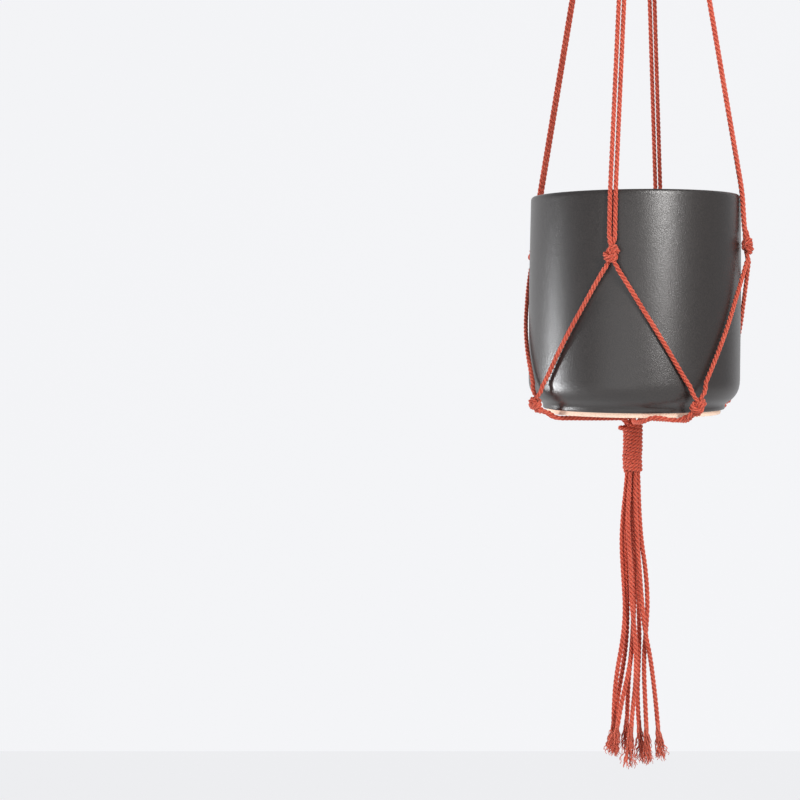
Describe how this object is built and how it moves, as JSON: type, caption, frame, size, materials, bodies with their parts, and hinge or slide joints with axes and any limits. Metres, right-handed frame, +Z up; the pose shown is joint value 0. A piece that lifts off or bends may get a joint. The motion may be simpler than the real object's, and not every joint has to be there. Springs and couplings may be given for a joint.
{
  "type": "hanging macrame planter",
  "caption": "Round glazed pot carried in a knotted cord cradle that hangs from a metal ring, with a bound and frayed tassel below.",
  "frame": {"origin": "centre of the hanging ring, which is what holds the planter up", "axes": "+Z up, along the planter's hanging line; the ring lies in the XZ plane; +X, -X, +Y and -Y are the four arm directions"},
  "size_m": [0.19, 0.1916, 1.0243],
  "materials": {
    "cord": "matte twisted cotton",
    "pot": "satin speckled glaze, bare clay foot",
    "ring": "brushed"
  },
  "bodies": {
    "ring": {"hanging_ring": "ring"},
    "hanger": {"top_wrap": "cord", "top_wrap_strands": "cord", "ring_loop_1": "cord", "ring_loop_2": "cord", "ring_loop_3": "cord", "ring_loop_4": "cord", "arm_front_1": "cord", "arm_front_2": "cord", "arm_right_1": "cord", "arm_right_2": "cord", "arm_back_1": "cord", "arm_back_2": "cord", "arm_left_1": "cord", "arm_left_2": "cord", "upper_knot_front": "cord", "upper_knot_right": "cord", "upper_knot_back": "cord", "upper_knot_left": "cord", "side_front_1": "cord", "side_front_2": "cord", "side_right_1": "cord", "side_right_2": "cord", "side_back_1": "cord", "side_back_2": "cord", "side_left_1": "cord", "side_left_2": "cord", "lower_knot_front_right": "cord", "lower_knot_back_right": "cord", "lower_knot_back_left": "cord", "lower_knot_front_left": "cord", "base_front_right_1": "cord", "base_front_right_2": "cord", "base_back_right_1": "cord", "base_back_right_2": "cord", "base_back_left_1": "cord", "base_back_left_2": "cord", "base_front_left_1": "cord", "base_front_left_2": "cord"},
    "pot": {"pot": "pot"},
    "wrap": {"bottom_wrap": "cord", "bottom_wrap_strands": "cord"},
    "tassel": {"strand_1": "cord", "strand_2": "cord", "strand_3": "cord", "strand_4": "cord", "strand_5": "cord", "strand_6": "cord", "strand_7": "cord", "strand_8": "cord", "frayed_end_1": "cord", "frayed_end_2": "cord", "frayed_end_3": "cord", "frayed_end_4": "cord", "frayed_end_5": "cord", "frayed_end_6": "cord", "frayed_end_7": "cord", "frayed_end_8": "cord"}
  },
  "joints": [
    {"name": "hanger_swing", "type": "hinge", "parent": "ring", "child": "hanger", "pos_m": [0, 0, -0.0245], "axis": [1, 0, 0], "range_deg": [-25, 25]},
    {"name": "pot_turn", "type": "hinge", "parent": "hanger", "child": "pot", "pos_m": [0, 0, -0.712], "axis": [0, 0, 1], "continuous": true},
    {"name": "wrap_swing", "type": "hinge", "parent": "hanger", "child": "wrap", "pos_m": [0, 0, -0.7285], "axis": [0, 1, 0], "range_deg": [-22, 22]},
    {"name": "tassel_swing", "type": "hinge", "parent": "wrap", "child": "tassel", "pos_m": [0, 0, -0.756], "axis": [1, 0, 0], "range_deg": [-35, 35]}
  ]
}
